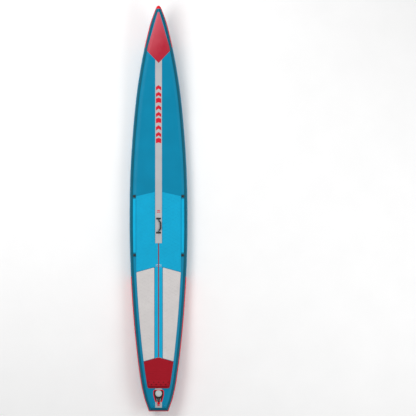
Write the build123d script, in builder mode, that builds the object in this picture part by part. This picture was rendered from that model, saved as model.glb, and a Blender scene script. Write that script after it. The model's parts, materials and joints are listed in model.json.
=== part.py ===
from build123d import *
from math import asin, cos, degrees, radians, sin, sqrt
import os

# Inflatable 14-foot race paddleboard, drop-stitch construction.
# X runs along the board, nose towards +X; Y points to port; Z points up.
# The origin is below the middle of the board, on the surface that it lies on.
# Places along the board are given as a distance from the tail (d) or from the nose.
# All sizes are in millimetres.

os.makedirs("parts", exist_ok=True)

# ---- hull: driving dimensions
length = 4267.0
width = 610.0
thickness = 152.0
tail_width = 203.0
tail_flare = 0.36  # how far the half-width grows per millimetre at the tail corners
tail_straight = 90.0  # length of the straight flared stretch
tail_rise = 60.0
nose_rise = 205.0
level_tail = 240.0  # the rear deck is level up to here, for the valve and leash ring
flat_start = 1400.0  # the bottom is flat from here...
flat_end = 2600.0  # ...to here
nose_cap_length = 32.0
nose_cap_width = 60.0
ridge = 4.0  # half-width of the flat left on top where the two rails meet at the nose
least_arc = 3.0  # degrees; a sheet ends where less of its arc than this is left at the nose

# half-width of the outline as (share of the length, share of half the width)
outline_shares = [
    (0.0520, 0.556), (0.1008, 0.668), (0.1746, 0.790), (0.2733, 0.906),
    (0.3717, 0.978), (0.4828, 1.000), (0.5934, 0.970), (0.6918, 0.881),
    (0.7905, 0.740), (0.8643, 0.575), (0.9234, 0.397), (0.9630, 0.251),
]

# ---- sheet layers
skin_t = 1.2
tape_t = 0.9
guard_t = 1.2
patch_t = 0.9
pad_t = 5.0
glue = 0.1  # gap left between glued sheets
butt = 0.4  # gap between two sheets that meet edge to edge
stringer_width = 70.0

# ---- rail guards, as lengths from the nose and from the tail
guard_nose_length = 440.0
guard_nose_slant = 150.0
guard_tail_length = 1424.0
guard_tail_slant = 30.0

# seam angles round the rail, in degrees from straight up
deck_seam = 49.0
bottom_seam = 146.5
deck_tape = (34.5, 63.5)
bottom_tape = (134.7, 158.4)
guard_band = (65.0, 133.5)
deck_reach = 33.7  # how far round the shoulder deck patches and pads may reach

# ---- deck graphics and pads, as distances from the tail
kick_pad_rear = 242.0
kick_pad_front = 566.0
stance_pad_front = 1529.0
front_pad_front = 2316.0
stringer_channel_rear = 1772.0
chevron = 0.27  # sweep of the pad fronts: set-back per millimetre out from the centre
front_chevron = 0.23
pad_margin = 60.0
front_pad_margin = 69.0
pad_groove = 4.0
centre_strip_width = 7.0
centre_pad_width = 35.0
pad_corner = 8.0
kick_corner = 20.0
kick_bar_length = 68.0
kick_bar_inset = 20.0  # from the kick pad's rear edge
kick_bar_height = 20.0
kick_bar_crest = 0.45  # share of its length where the top starts to fall
kick_bar_toe = 4.0  # height left at its front
kick_hole_d = 12.0
kick_hole_depth = 8.0
kick_hole_pitch = 50.0
kick_hole_row_gap = 28.0
kick_hole_first_row = 16.3  # from the bar's rear edge
kick_hole_counts = (4, 5)
side_pad_front = 2234.0
side_pad_rear = 1670.0
side_pad_inset = 35.0

# ---- nose patch (kite), as distances from the nose
kite_tip = 40.0
kite_shoulder = 472.0
kite_rear = 603.0
kite_half = 124.0

# ---- drop-stitch yarns
yarn_radius = 1.0
yarn_pitch_x = 150.0
yarn_pitch_y = 55.0
yarn_gap = 0.6
yarn_valve_gap = 5.0

# ---- tie-down loops
loop_stations = (1642.0, 2262.0)
loop_outer_angle = 33.0
loop_pad_gap = 6.9  # from the front pad's edge to a loop's inner foot, in plan
loop_foot = 4.0  # degrees of rail under each foot
loop_rise = 9.0
loop_webbing_t = 1.6
loop_webbing_w = 20.0
loop_patch_length = 34.0
strap_gap = 0.3

# ---- carry handle
handle_station = 1953.0
handle_span = 148.0  # between the middles of the two anchors
anchor_length = 18.0
anchor_width = 52.0
anchor_base_t = 2.5
anchor_boss_r = 8.0
handle_pin_r = 4.5
handle_pin_clearance = 0.1
handle_axis_height = 9.0  # above the stringer tape
handle_bow = 20.0
handle_neck = 9.5  # from the anchor's face to the corner of the bow
grip_r = 8.5
grip_length = 104.0
strap_r = 4.0

# ---- inflation valve; heights are measured down from the collar's top
valve_station = 187.0
valve_flange_r = 34.5
valve_flange_t = 4.0
valve_collar_r = 18.0
valve_collar_h = 4.0
valve_barrel_r = 21.5
valve_hole_clearance = 0.5
valve_depth = 54.0
socket_r = 13.0
socket_depth = 12.0
well_r = 9.5
well_depth = 16.0
spider_t = 4.0
throat_depth = 4.5
chamber_r = 18.0
stem_r = 3.0
stem_clearance = 0.08
button_r = 5.5
button_t = 3.0
button_drop = 0.5
diaphragm_r = 12.5
diaphragm_t = 2.5
plunger_foot_r = 9.0
plunger_foot_t = 2.0
vent_r = 1.9
vent_circle_r = 6.6
vent_count = 6
spring_wire_r = 0.5
spring_r = 4.4
spring_turns = 6
gasket_t = 1.0
gasket_r = 33.0
nut_r = 30.0
nut_t = 9.0
cap_r = 25.0
cap_wall = 2.2
cap_top_t = 2.6
cap_hinge_reach = 29.4  # from the valve's axis to the hinge pin
cap_hinge_r = 3.2
cap_pin_r = 1.25
cap_pin_clearance = 0.08
cap_lug_width = 10.0
cap_ear_t = 3.0
cap_seal_t = 1.4
cap_seal_width = 4.0
cap_tab_r = 5.0
moving_gap = 0.35

# ---- valve and leash patches
valve_patch_front = 226.0
valve_patch_rear = 95.0
valve_patch_half_front = 55.5
valve_patch_half_rear = 35.0
valve_patch_border = 8.0
valve_patch_corner = 18.0
leash_patch_front = 120.0
leash_patch_rear = 57.0
leash_patch_half = 20.0
leash_patch_front_half = 14.0
leash_patch_rear_half = 12.0
ring_bar_station = 101.0
ring_rod_r = 2.5
ring_half = 16.0
ring_side = 18.0
ring_corner = 5.0
ring_tab_width = 22.0
ring_tab_t = 1.5
ring_tab_length = 34.0
ring_clearance = 0.15

# ---- fin box
fin_box_middle = 401.5
fin_base_length = 270.0
fin_base_width = 87.0
fin_base_t = 2.5
fin_body_length = 232.0
fin_body_width = 36.0
fin_body_t = 16.0
fin_slot_length = 195.0
fin_slot_width = 10.0
fin_slot_floor = 2.0
fin_mouth_width = 17.0
fin_mouth_depth = 2.5
fin_track_width = 15.0
fin_track_t = 3.5
fin_track_lip = 4.5

# ---- release edge across the tail
release_front = 62.0
release_rear = 46.0
release_t = 8.0

# ---- worked out from the above
rail = thickness / 2
centre_height = rail + glue + patch_t
half = width / 2
tall = 2 * thickness + tail_rise + nose_rise  # taller than anything that is cut
end_slack = 10.0
outline = [(0.0, tail_width / 2), (tail_straight, tail_width / 2 + tail_flare * tail_straight)]
outline += [(share * length, out * half) for share, out in outline_shares]
outline += [(length - nose_cap_length, nose_cap_width / 2)]
tape_outer = rail + glue + tape_t
guard_outer = rail + glue + guard_t
relief_outer = rail + glue + patch_t + glue
pad_outer = rail + glue + pad_t
deck_level = centre_height + tail_rise + rail
handle_deck = centre_height + rail + glue + patch_t
loop_inner_angle = degrees(asin((rail - front_pad_margin + loop_pad_gap) / (rail + glue)))
loop_angles = (loop_inner_angle, loop_outer_angle)


def inner_slopes(points):
    """Slopes of a smooth curve through the points, from the two chords at each."""
    chords = [(b[1] - a[1]) / (b[0] - a[0]) for a, b in zip(points, points[1:])]
    gaps = [b[0] - a[0] for a, b in zip(points, points[1:])]
    middle = [
        (chords[i] * gaps[i + 1] + chords[i + 1] * gaps[i]) / (gaps[i] + gaps[i + 1])
        for i in range(len(gaps) - 1)
    ]
    return [tail_flare, tail_flare, *middle[1:], chords[-1]]


outline_slopes = inner_slopes(outline)


def half_width(d):
    """Half-width of the hull at distance d from the tail."""
    if d <= tail_straight:
        return tail_width / 2 + tail_flare * d
    cap_start = length - nose_cap_length
    if d > cap_start:
        share = (length + guard_outer - rail - d) / (nose_cap_length + guard_outer - rail)
        return nose_cap_width / 2 * sqrt(share)
    i = max(k for k in range(len(outline) - 1) if outline[k][0] <= d or k == 0)
    (x0, y0), (x1, y1) = outline[i], outline[i + 1]
    run = x1 - x0
    t = (d - x0) / run
    rise = y0 * (1 + 2 * t) * (1 - t) ** 2 + y1 * t * t * (3 - 2 * t)
    return rise + run * (outline_slopes[i] * t * (1 - t) ** 2 + outline_slopes[i + 1] * t * t * (t - 1))


def rocker(d):
    """Lift of the hull's centre above its lowest place."""
    if d < flat_start:
        u = max(0.0, d - level_tail) / (flat_start - level_tail)
        return tail_rise * (1 - u * u * (3 - 2 * u))
    if d > flat_end:
        return nose_rise * ((d - flat_end) / (length - flat_end)) ** 2
    return 0.0


def along(d):
    """X of a place at distance d from the tail."""
    return d - length / 2


def section_plane(d):
    """Upright plane across the board, with its X to port and its Y up."""
    origin = (along(d), 0, centre_height + rocker(d))
    return Plane(origin=origin, x_dir=(0, 1, 0), z_dir=(1, 0, 0))


def spread(start, stop, count):
    """Evenly spaced values, both ends included."""
    return [start + (stop - start) * k / (count - 1) for k in range(count)]


nose_start = length - nose_cap_length
tail_stations = [-end_slack, tail_straight]
hull_stations = [
    *spread(tail_straight, level_tail, 4),
    *spread(level_tail, flat_start, 9)[1:],
    *spread(flat_start, flat_end, 8)[1:],
    *spread(flat_end, nose_start - 560, 6)[1:],
    *[nose_start - gap for gap in (450, 350, 260, 185, 120, 75, 35, 0)],
]


def rail_angle(d, r, angle):
    """An angle round the rail, kept off the centreline where the rails meet."""
    centre = half_width(d) - rail
    least = degrees(asin(max(-1.0, min(1.0, (ridge - centre) / r))))
    return radians(min(max(angle, least), 180 - least))


def rail_point(d, r, turn):
    """Point on a rail circle of radius r in the section plane; turn in radians."""
    return (half_width(d) - rail + r * sin(turn), r * cos(turn))


def rail_arc_points(d, r, start, stop):
    """Start, middle and end of an arc round the rail."""
    a, b = rail_angle(d, r, start), rail_angle(d, r, stop)
    return [rail_point(d, r, turn) for turn in (a, (a + b) / 2, b)]


def open_stations(stations, r, start, stop):
    """The stations where an arc from start to stop is not lost in the nose ridge."""
    least_sweep = radians(least_arc)
    return [d for d in stations if rail_angle(d, r, stop) - rail_angle(d, r, start) > least_sweep]


def flip(points, up):
    """The points as they are, or mirrored to the underside."""
    return [(y, z * up) for y, z in points]


def crown(stations, inner, outer, reach, up=1, ruled=False):
    """Sheet over the deck (up=1) or bottom (up=-1), round both shoulders to reach."""
    with BuildPart() as sheet:
        for d in open_stations(stations, inner, 0, reach):
            with BuildSketch(section_plane(d)):
                with BuildLine():
                    out_arc = ThreePointArc(*flip(rail_arc_points(d, outer, 0, reach), up))
                    in_arc = ThreePointArc(*flip(rail_arc_points(d, inner, 0, reach), up))
                    Line(out_arc @ 1, in_arc @ 1)
                    mirror(about=Plane.YZ)
                    for arc in (out_arc, in_arc):
                        end = arc @ 0
                        Line((end.X, end.Y), (-end.X, end.Y))
                make_face()
        loft(ruled=ruled)
    return sheet.part


def rail_band(stations, inner, outer, start, stop, ruled=False):
    """Sheet round the port rail between two angles."""
    with BuildPart() as band:
        for d in open_stations(stations, inner, start, stop):
            with BuildSketch(section_plane(d)):
                with BuildLine():
                    out_arc = ThreePointArc(*rail_arc_points(d, outer, start, stop))
                    in_arc = ThreePointArc(*rail_arc_points(d, inner, start, stop))
                    Line(out_arc @ 0, in_arc @ 0)
                    Line(out_arc @ 1, in_arc @ 1)
                make_face()
        loft(ruled=ruled)
    return band.part


def mitre_points(gap=0.0):
    """Plan of the tail corner region, bounded by the two mitres, drawn in by gap."""
    lead = tail_width / 2 - gap
    back = (along(-2 * end_slack), lead + (1 - tail_flare) * 2 * end_slack)
    front = (along(rail), lead - (1 - tail_flare) * rail)
    return [back, front, (front[0], -front[1]), (back[0], -back[1])]


def tail_region(gap=0.0):
    """Upright prism over the tail corner region."""
    with BuildPart() as prism:
        with BuildSketch(Plane.XY.offset(-tall)):
            with BuildLine():
                Polyline(*mitre_points(gap), close=True)
            make_face()
        extrude(amount=2 * tall)
    return prism.part



def with_tail_mitre(long_part, short_part, gap=0.0):
    """A long sheet joined to its ruled tail stretch and cut back to the tail mitre."""
    with BuildPart() as sheet:
        add(long_part)
        add(short_part)
        add(tail_region(-gap), mode=Mode.SUBTRACT)
    return sheet.part


def long_crown(inner, outer, reach, up=1):
    """Crown sheet over the whole board, less the transom's own region."""
    body = crown(hull_stations, inner, outer, reach, up)
    end = crown(tail_stations, inner, outer, reach, up, ruled=True)
    return with_tail_mitre(body, end)


def crown_end(inner, outer, reach, up):
    """Sheet over the rear of the board with its tail end turned down the transom."""
    end = crown([-end_slack, tail_straight, level_tail], inner, outer, reach, up, ruled=True)
    turned = (0, reach) if up == 1 else (180 - reach, 180)
    return joined(less(end, tail_region()), transom_band(inner, outer, *turned))


def long_band(inner, outer, start, stop, stations=hull_stations):
    """Rail sheet along the whole port side, mitred at the tail corner."""
    body = rail_band(stations, inner, outer, start, stop)
    end = rail_band(tail_stations, inner, outer, start, stop, ruled=True)
    return with_tail_mitre(body, end, butt / 2)


def transom_point(r, turn):
    """Point on the transom's rounded profile in the XZ plane."""
    return (along(rail) - r * sin(turn), centre_height + tail_rise + r * cos(turn))


def transom_band(inner, outer, start, stop, gap=0.0):
    """Sheet across the tail, between two angles, ending at the mitres."""
    turns = [radians(angle) for angle in (start, (start + stop) / 2, stop)]
    with BuildPart() as band:
        with BuildSketch(Plane.XZ):
            with BuildLine():
                out_arc = ThreePointArc(*[transom_point(outer, turn) for turn in turns])
                in_arc = ThreePointArc(*[transom_point(inner, turn) for turn in turns])
                Line(out_arc @ 0, in_arc @ 0)
                Line(out_arc @ 1, in_arc @ 1)
            make_face()
        extrude(amount=tail_width, both=True)
        add(tail_region(gap), mode=Mode.INTERSECT)
    return band.part


def plan_prism(points, corner=0.0):
    """Upright prism over a plan outline with rounded corners."""
    with BuildPart() as prism:
        with BuildSketch(Plane.XY.offset(-tall)) as plan:
            with BuildLine():
                Polyline(*points, close=True)
            make_face()
            if corner:
                fillet(plan.vertices(), corner)
        extrude(amount=2 * tall)
    return prism.part


def common(part, region):
    """What two solids share."""
    with BuildPart() as shared:
        add(part)
        add(region, mode=Mode.INTERSECT)
    return shared.part


def less(part, *tools):
    """A part with other solids cut away."""
    with BuildPart() as cut:
        add(part)
        for tool in tools:
            add(tool, mode=Mode.SUBTRACT)
    return cut.part


def joined(*parts):
    """One solid from sheets that share a face."""
    with BuildPart() as whole:
        for part in parts:
            add(part)
    return whole.part


def keep_plan(blank, points, corner=0.0):
    """The part of a sheet inside a plan outline."""
    return common(blank, plan_prism(points, corner))


def plan_box(start, stop, low, high):
    """Corners of a plan rectangle between two distances from the tail."""
    return [(along(start), low), (along(stop), low), (along(stop), high), (along(start), high)]


def mirrored(part):
    """The starboard twin of a port piece."""
    with BuildPart() as twin:
        mirror(part, about=Plane.XZ)
    return twin.part


def save(part, name):
    """Label a finished piece and write it to its own file."""
    part.label = name
    export_step(part, f"parts/{name}.step")


def save_pair(part, name):
    """Write a port piece and its starboard twin."""
    save(part, f"{name}_port")
    save(mirrored(part), f"{name}_starboard")


# ---- hull skins, rails and seams
turn_gap = degrees(butt / rail)


def valve_hole(part):
    """The part with the valve's round hole through it."""
    with BuildPart() as holed:
        add(part)
        with BuildSketch(Plane.XY.offset(centre_height + tail_rise)):
            with Locations((along(valve_station), 0)):
                Circle(valve_barrel_r + valve_hole_clearance)
        extrude(amount=thickness, mode=Mode.SUBTRACT)
    return holed.part


save(valve_hole(long_crown(rail - skin_t, rail, deck_seam)), "deck_skin")
save(long_crown(rail - skin_t, rail, 180 - bottom_seam, up=-1), "bottom_skin")
save_pair(long_band(rail - skin_t, rail, deck_seam + turn_gap, bottom_seam - turn_gap), "sidewall")
save(transom_band(rail - skin_t, rail, turn_gap, 180 - turn_gap, butt / 2), "sidewall_tail")
save_pair(long_band(rail + glue, tape_outer, *deck_tape), "deck_seam_tape")
save(transom_band(rail + glue, tape_outer, *deck_tape, butt / 2), "deck_seam_tape_tail")
bottom_tape_stations = hull_stations[:-2]  # the nose cap covers the last stretch
save_pair(long_band(rail + glue, tape_outer, *bottom_tape, bottom_tape_stations), "bottom_seam_tape")
save(transom_band(rail + glue, tape_outer, *bottom_tape, butt / 2), "bottom_seam_tape_tail")


# ---- rail guards: a heavier strip round the nose and round the tail half of the rails
def side_prism(outline_points):
    """Prism across the whole board from an outline in the XZ plane."""
    with BuildPart() as prism:
        with BuildSketch(Plane.XZ):
            with BuildLine():
                Polyline(*outline_points, close=True)
            make_face()
        extrude(amount=width, both=True)
    return prism.part


def slanted_end(top_station, slant, beyond):
    """Side outline from a slanted line at top_station to beyond."""
    shoulder = (along(top_station), centre_height + tail_rise)
    foot = (along(top_station + slant), 0)
    return [(along(top_station), tall), shoulder, foot, (along(beyond), 0), (along(beyond), tall)]


whole_guard = long_band(rail + glue, guard_outer, *guard_band)
nose_guard_start = length - guard_nose_length
nose_guard_region = side_prism(slanted_end(nose_guard_start, guard_nose_slant, length))
tail_guard_region = side_prism(slanted_end(guard_tail_length, -guard_tail_slant, -thickness))
save_pair(common(whole_guard, nose_guard_region), "rail_guard_nose")
save_pair(common(whole_guard, tail_guard_region), "rail_guard_rear")
save(transom_band(rail + glue, guard_outer, *guard_band, butt / 2), "rail_guard_tail")


def nose_cap():
    """Moulded cap that closes the ends of the rails at the nose."""
    first = nose_start + butt
    last = length + guard_outer - rail
    with BuildPart() as cap:
        for share in (1.0, 0.75, 0.5, 0.3, 0.15, 0.06, 0.02):
            d = last - share * (last - first)
            top = rail_arc_points(d, guard_outer, 0, 180)
            with BuildSketch(section_plane(d)):
                with BuildLine():
                    side = ThreePointArc(*top)
                    mirror(about=Plane.YZ)
                    for end in (side @ 0, side @ 1):
                        Line((end.X, end.Y), (-end.X, end.Y))
                make_face()
        loft()
    return cap.part


save(nose_cap(), "nose_cap")


# ---- drop-stitch yarns that hold the two skins parallel
def yarn_places():
    """Rows of yarn places over the flat of the hull, as (x, y, z) of their middles."""
    places = []
    rows = int((length - 2 * yarn_pitch_x) // yarn_pitch_x)
    for row in range(1, rows + 1):
        d = row * yarn_pitch_x + level_tail / 4
        reach = half_width(d) - rail - 2 * yarn_radius
        side = int(reach // yarn_pitch_y) if reach > 0 else -1
        for k in range(-side, side + 1):
            beside = abs(d - valve_station) < nut_r + yarn_pitch_y / 2
            if not (beside and abs(k * yarn_pitch_y) < nut_r + yarn_valve_gap):
                places.append((along(d), k * yarn_pitch_y, centre_height + rocker(d)))
    return places


with BuildPart() as yarns:
    with Locations(*yarn_places()):
        Cylinder(yarn_radius, 2 * (rail - skin_t - yarn_gap))
save(yarns.part, "drop_stitch_yarns")

# ---- stringers and patches on the skins
deck_sheet = long_crown(rail + glue, rail + glue + patch_t, deck_reach)
deck_sheet_tail = transom_band(rail + glue, rail + glue + patch_t, 0, deck_reach)
bottom_reach = 180 - bottom_tape[1] - turn_gap
bottom_sheet = long_crown(rail + glue, rail + glue + patch_t, bottom_reach, up=-1)
bottom_sheet_tail = transom_band(rail + glue, rail + glue + patch_t, 180 - bottom_reach, 180)


kite_points = [
    (along(length - kite_tip), 0),
    (along(length - kite_shoulder), kite_half),
    (along(length - kite_rear), 0),
    (along(length - kite_shoulder), -kite_half),
]
kite_gap = 2 * butt
kite_clear_points = [
    (along(length - kite_shoulder), kite_half),
    (along(length - kite_rear) - kite_gap, 0),
    (along(length - kite_shoulder), -kite_half),
]
stringer_half = stringer_width / 2
stringer_rear = rail / 2
deck_stringer_plan = plan_box(stringer_rear, length - kite_shoulder, -stringer_half, stringer_half)
deck_strip = keep_plan(joined(deck_sheet, deck_sheet_tail), deck_stringer_plan)
save(valve_hole(less(deck_strip, plan_prism(kite_clear_points))), "deck_stringer")
save(keep_plan(deck_sheet, kite_points), "nose_patch")
bottom_stringer_plan = plan_box(release_front + butt, nose_start, -stringer_half, stringer_half)
bottom_strip = keep_plan(joined(bottom_sheet, bottom_sheet_tail), bottom_stringer_plan)
save(bottom_strip, "bottom_stringer")

# The release edge is a hard strip across the bottom of the tail, over the seam tape.
release_inner = tape_outer + glue
release_reach = 180 - bottom_tape[0]
release_blank = crown_end(release_inner, rail + release_t, release_reach, up=-1)
release_plan = plan_box(release_rear, release_front, -tail_width / 2, tail_width / 2)
save(keep_plan(release_blank, release_plan), "tail_release_edge")

# ---- deck pads: EVA sheet cut to shape, with a relief underneath for the stringer
pad_sheet = long_crown(rail + glue, pad_outer, deck_reach)
relief_plan = plan_box(0, length - kite_rear, -stringer_half - glue, stringer_half + glue)
stringer_relief = keep_plan(long_crown(rail - pad_t, relief_outer, deck_reach), relief_plan)
deck_pads = less(pad_sheet, stringer_relief)


def outer_edge(start, stop, margin):
    """Five points that follow the outline at a margin, on the port side."""
    return [(along(d), half_width(d) - margin) for d in spread(start, stop, 5)]


def chevron_at(apex, y, sweep=chevron):
    """Plan point on a chevron line with its apex at distance apex from the tail."""
    return (along(apex - sweep * y), y)


def port_pad(inner_points, start, stop, margin=pad_margin):
    """A pad with straight inner edges and an outer edge that follows the outline."""
    edge = outer_edge(start, stop, margin)
    with BuildPart() as pad:
        add(deck_pads)
        with BuildSketch(Plane.XY.offset(-tall)) as plan:
            with BuildLine():
                Spline(*edge)
                Polyline(edge[-1], *inner_points, edge[0])
            make_face()
            fillet(plan.vertices(), pad_corner)
        extrude(amount=2 * tall, mode=Mode.INTERSECT)
    return pad.part


strip_half = centre_strip_width / 2
strip_side = strip_half + pad_groove / 2
centre_pad_outer = strip_side + centre_pad_width
stance_inner = centre_pad_outer + pad_groove
stance_front = stance_pad_front - pad_groove
channel_side = stringer_half + pad_groove
front_pad_side = half - front_pad_margin

front_pad_plan = [
    chevron_at(front_pad_front, channel_side, front_chevron),
    chevron_at(front_pad_front, front_pad_side, front_chevron),
    chevron_at(stance_pad_front, front_pad_side),
    chevron_at(stance_pad_front, strip_side),
    (along(stringer_channel_rear - pad_groove), strip_side),
    (along(stringer_channel_rear - pad_groove), channel_side),
]
save_pair(keep_plan(deck_pads, front_pad_plan, strip_half), "front_pad")

stance_rear_corner = kick_pad_front + pad_groove - chevron * (half_width(kick_pad_front) - pad_margin)
stance_front_corner = stance_front - chevron * (half_width(stance_front) - pad_margin)
stance_plan = [chevron_at(stance_front, stance_inner), chevron_at(kick_pad_front + pad_groove, stance_inner)]
save_pair(port_pad(stance_plan, stance_rear_corner, stance_front_corner), "stance_pad")

centre_plan = [
    chevron_at(stance_front, strip_side),
    chevron_at(stance_front, centre_pad_outer),
    chevron_at(kick_pad_front + pad_groove, centre_pad_outer),
    chevron_at(kick_pad_front + pad_groove, strip_side),
]
save_pair(keep_plan(deck_pads, centre_plan), "centre_pad")

strip_front = stringer_channel_rear - pad_groove
strip_plan = plan_box(kick_pad_front + pad_groove, strip_front, -strip_half, strip_half)
save(keep_plan(deck_pads, strip_plan), "centre_line_strip")

side_pad_plan = [
    (along(side_pad_rear), half - front_pad_margin + pad_groove),
    (along(side_pad_rear), half_width(side_pad_rear) - side_pad_inset),
    (along((side_pad_rear + side_pad_front) / 2), half - side_pad_inset),
    (along(side_pad_front), half_width(side_pad_front) - side_pad_inset),
    (along(side_pad_front), half - front_pad_margin + pad_groove),
]
save_pair(keep_plan(deck_pads, side_pad_plan), "side_pad")

kick_corner_station = kick_pad_front - chevron * (half_width(kick_pad_front) - pad_margin)
kick_edge = outer_edge(kick_pad_rear, kick_corner_station, pad_margin)
with BuildPart() as kick_pad:
    add(deck_pads)
    with BuildSketch(Plane.XY.offset(-tall)) as kick_plan:
        with BuildLine():
            Spline(*kick_edge)
            Line(kick_edge[-1], (along(kick_pad_front), 0))
            mirror(about=Plane.XZ)
            Line(kick_edge[0], (kick_edge[0][0], -kick_edge[0][1]))
        make_face()
        fillet(kick_plan.vertices().group_by(Axis.X)[0], kick_corner)
    extrude(amount=2 * tall, mode=Mode.INTERSECT)
save(kick_pad.part, "kick_pad")

# The kick bar is a firm wedge on the rear of the kick pad, with two rows of blind holes.
kick_bar_rear = kick_pad_rear + kick_bar_inset
kick_bar_side = half_width(kick_bar_rear) - pad_margin - kick_bar_inset / 2
with BuildPart() as kick_bar:
    add(long_crown(pad_outer + glue, pad_outer + kick_bar_height, deck_reach))
    with BuildSketch(Plane.XY.offset(-tall)):
        with Locations((along(kick_bar_rear + kick_bar_length / 2), 0)):
            RectangleRounded(kick_bar_length, 2 * kick_bar_side, pad_corner)
    extrude(amount=2 * tall, mode=Mode.INTERSECT)
    with BuildSketch(Plane.XZ):
        with BuildLine():
            base = deck_level + pad_t
            crest = along(kick_bar_rear + kick_bar_length * kick_bar_crest)
            Polyline(
                (crest, base + 2 * kick_bar_height),
                (crest, base + kick_bar_height),
                (along(kick_bar_rear + kick_bar_length), base + kick_bar_toe),
                (along(kick_bar_rear + 2 * kick_bar_length), base),
                (along(kick_bar_rear + 2 * kick_bar_length), base + 2 * kick_bar_height),
                close=True,
            )
        make_face()
    extrude(amount=width, both=True, mode=Mode.SUBTRACT)
    for row, count in enumerate(kick_hole_counts):
        row_x = along(kick_bar_rear + kick_hole_first_row + row * kick_hole_row_gap)
        with BuildSketch(Plane.XY.offset(deck_level + pad_t + kick_bar_height)):
            with Locations((row_x, 0)):
                with GridLocations(kick_hole_pitch, kick_hole_pitch, 1, count):
                    Circle(kick_hole_d / 2)
        extrude(amount=-kick_hole_depth - glue, mode=Mode.SUBTRACT)
save(kick_bar.part, "kick_bar")


# ---- tie-down loops for the cargo line, one pair at each end of the side pads
def tie_patch(d):
    """Base patch on the port shoulder under a loop."""
    low = half - front_pad_margin + pad_groove / 2
    box = plan_box(d - loop_patch_length / 2, d + loop_patch_length / 2, low, half)
    return keep_plan(deck_sheet, box)


def polar(d, r, angle):
    """Point at an angle round the port rail, in the section plane."""
    return rail_point(d, r, radians(angle))


def loop_side(d, r, lift):
    """Arcs of one face of a loop: a foot, the arch and the other foot."""
    first, last = loop_angles
    middle = (first + last) / 2
    inset = loop_foot + lift
    for start, stop in ((first, first + inset), (last - inset, last)):
        ThreePointArc(polar(d, r, start), polar(d, r, (start + stop) / 2), polar(d, r, stop))
    ThreePointArc(polar(d, r, first + inset), polar(d, r + loop_rise, middle), polar(d, r, last - inset))


def tie_loop(d):
    """Webbing loop on the port shoulder, with both feet on the patch."""
    low_r = rail + glue + patch_t + strap_gap
    high_r = low_r + loop_webbing_t
    with BuildPart() as loop:
        with BuildSketch(section_plane(d - loop_webbing_w / 2)):
            with BuildLine():
                loop_side(d, high_r, 0)
                loop_side(d, low_r, degrees(loop_webbing_t / low_r))
                for angle in loop_angles:
                    Line(polar(d, low_r, angle), polar(d, high_r, angle))
            make_face()
        extrude(amount=loop_webbing_w)
    return loop.part


port_patches = [tie_patch(station) for station in loop_stations]
save(joined(*port_patches, *[mirrored(patch) for patch in port_patches]), "tie_patches")
for place, station in zip(("rear", "front"), loop_stations):
    save_pair(tie_loop(station), f"tie_loop_{place}")


# ---- carry handle: a webbing strap in a soft grip, which flops over to either side
handle_x = along(handle_station)
handle_axis_z = handle_deck + handle_axis_height
anchor_reach = handle_span / 2


def handle_anchor(x):
    """Moulded anchor with a wide foot and a boss that the strap's end turns in."""
    foot_z = handle_deck + glue
    with BuildPart() as anchor:
        with BuildSketch(Plane.XY.offset(foot_z)):
            with Locations((x, 0)):
                RectangleRounded(anchor_length, anchor_width, anchor_base_t)
        extrude(amount=anchor_base_t)
        with BuildSketch(Plane.YZ.offset(x - anchor_length / 2)):
            with Locations((0, handle_axis_z)):
                Circle(anchor_boss_r)
            with Locations((0, (foot_z + handle_axis_z) / 2)):
                Rectangle(2 * anchor_boss_r, handle_axis_z - foot_z)
        extrude(amount=anchor_length)
        with BuildSketch(Plane.YZ.offset(x - anchor_length / 2)):
            with Locations((0, handle_axis_z)):
                Circle(handle_pin_r + handle_pin_clearance)
        extrude(amount=anchor_length, mode=Mode.SUBTRACT)
    return anchor.part


def handle_sweep(r):
    """Round rod of radius r along the strap's bowed path."""
    out, near = anchor_reach + anchor_length / 2, anchor_reach - anchor_length / 2 - handle_neck
    far = grip_length / 3
    with BuildPart() as rod:
        with BuildLine(Plane.XY.offset(handle_axis_z)) as path:
            FilletPolyline(
                (handle_x - out, 0), (handle_x - near, 0), (handle_x - far, -handle_bow),
                (handle_x + far, -handle_bow), (handle_x + near, 0), (handle_x + out, 0),
                radius=handle_bow,
            )
        with BuildSketch(Plane(origin=path.line @ 0, z_dir=path.line % 0)):
            Circle(r)
        sweep()
    return rod.part


with BuildPart() as strap:
    add(handle_sweep(strap_r))
    for sign in (-1, 1):
        with BuildSketch(Plane.YZ.offset(handle_x + sign * anchor_reach - anchor_length / 2)):
            with Locations((0, handle_axis_z)):
                Circle(handle_pin_r)
        extrude(amount=anchor_length)
with BuildPart() as grip:
    add(handle_sweep(grip_r))
    add(handle_sweep(strap_r + glue), mode=Mode.SUBTRACT)
    with BuildSketch(Plane.YZ.offset(handle_x - grip_length / 2)):
        Rectangle(width, 2 * tall)
    extrude(amount=grip_length, mode=Mode.INTERSECT)
save(strap.part, "handle_strap")
save(grip.part, "handle_grip")
save(handle_anchor(handle_x - anchor_reach), "handle_anchor_rear")
save(handle_anchor(handle_x + anchor_reach), "handle_anchor_front")

# ---- valve patches
patch_level = deck_level + glue + patch_t + glue  # the stringer's top, with a glue gap
border_top = patch_level + patch_t
valve_patch_top = border_top + glue + patch_t
valve_hole_r = valve_barrel_r + valve_hole_clearance
leash_plan = [
    (along(leash_patch_front), leash_patch_front_half),
    (along((leash_patch_front + leash_patch_rear) / 2), leash_patch_half),
    (along(leash_patch_rear), leash_patch_rear_half),
    (along(leash_patch_rear), -leash_patch_rear_half),
    (along((leash_patch_front + leash_patch_rear) / 2), -leash_patch_half),
    (along(leash_patch_front), -leash_patch_front_half),
]
leash_notch = plan_box(0, leash_patch_front + butt, -leash_patch_half - butt, leash_patch_half + butt)


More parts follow.
